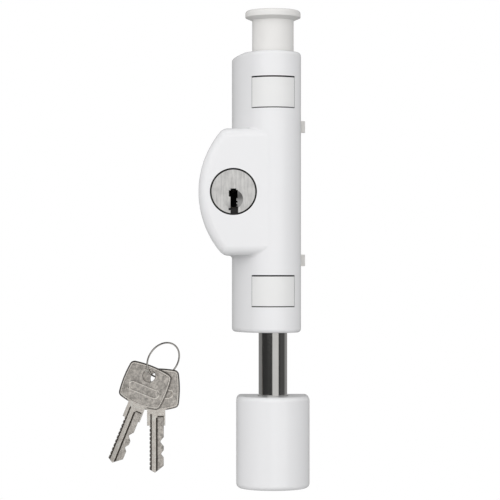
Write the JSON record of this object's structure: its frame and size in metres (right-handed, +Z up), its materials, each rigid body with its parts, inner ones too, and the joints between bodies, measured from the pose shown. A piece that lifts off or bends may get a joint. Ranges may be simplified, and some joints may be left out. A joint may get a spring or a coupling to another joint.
{
  "type": "window bolt lock",
  "caption": "Surface-mounted window lock: white casing with a sliding bolt, push knob and keyed cylinder, a separate keeper, and its keys on a wire ring.",
  "frame": {"origin": "on the casing's back face, behind the bolt's axis and level with the keyed cylinder", "axes": "+Z up along the bolt towards the knob, +X to the right seen from the front, +Y into the wall (out of the back face)"},
  "size_m": [0.0843, 0.0284, 0.2001],
  "materials": {
    "white_paint": "glossy white powder coat",
    "white_plastic": "smooth white",
    "knob_white": "smooth, slightly warm white",
    "bolt_steel": "polished nickel plate",
    "plain_steel": "plain",
    "cylinder_face": "vertical brushing",
    "die_cast": "as cast",
    "brass": "turned",
    "warm_grey_plastic": "moulded",
    "pale_plastic": "moulded",
    "damper_rubber": "matt",
    "key_metal": "nickel silver, lightly worn",
    "ring_wire": "bright wire"
  },
  "bodies": {
    "frame": {"body_casing": "white_paint", "back_plate": "warm_grey_plastic", "upper_cap": "white_plastic", "lower_cap": "white_plastic", "guide_bush": "pale_plastic", "stop_washer": "damper_rubber", "cylinder_housing": "brass", "spring_strip": "brass", "driver_pins": "brass", "pin_springs": "plain_steel", "cylinder_screw": "plain_steel", "keeper_cover": "white_paint", "keeper_block": "die_cast"},
    "bolt_and_knob": {"bolt": "bolt_steel", "knob": "knob_white", "knob_pin": "plain_steel", "stop_ring": "plain_steel"},
    "plug_and_crank": {"cylinder_plug": "cylinder_face", "key_pins": "brass", "crank_pin": "plain_steel", "plug_clip": "plain_steel"},
    "slider": {"locking_slider": "die_cast"},
    "ring": {"key_ring": "ring_wire"},
    "first_key": {"key_front": "key_metal"},
    "second_key": {"key_back": "key_metal"}
  },
  "joints": [
    {"name": "bolt_slide", "type": "slide", "parent": "frame", "child": "bolt_and_knob", "axis": [0, 0, 1], "range_m": [0, 0.022]},
    {"name": "plug_turn", "type": "hinge", "parent": "frame", "child": "plug_and_crank", "pos_m": [-0.0165, -0.015, 0], "axis": [0, 1, 0], "range_deg": [0, 90]},
    {"name": "slider_slide", "type": "slide", "parent": "frame", "child": "slider", "axis": [1, 0, 0], "range_m": [0, 0.00595]},
    {"name": "ring_lift", "type": "slide", "parent": "frame", "child": "ring", "axis": [0, -1, 0], "range_m": [0, 0.05]},
    {"name": "first_key_swing", "type": "hinge", "parent": "ring", "child": "first_key", "pos_m": [-0.05189, -0.0149, -0.07688], "axis": [0, 1, 0], "range_deg": [-10, 10]},
    {"name": "second_key_swing", "type": "hinge", "parent": "ring", "child": "second_key", "pos_m": [-0.04882, -0.0126, -0.07824], "axis": [0, 1, 0], "range_deg": [-10, 10]}
  ],
  "couplings": [
    {"joint": "slider_slide", "follows": "plug_turn", "m_per_rad": 0.003781}
  ]
}
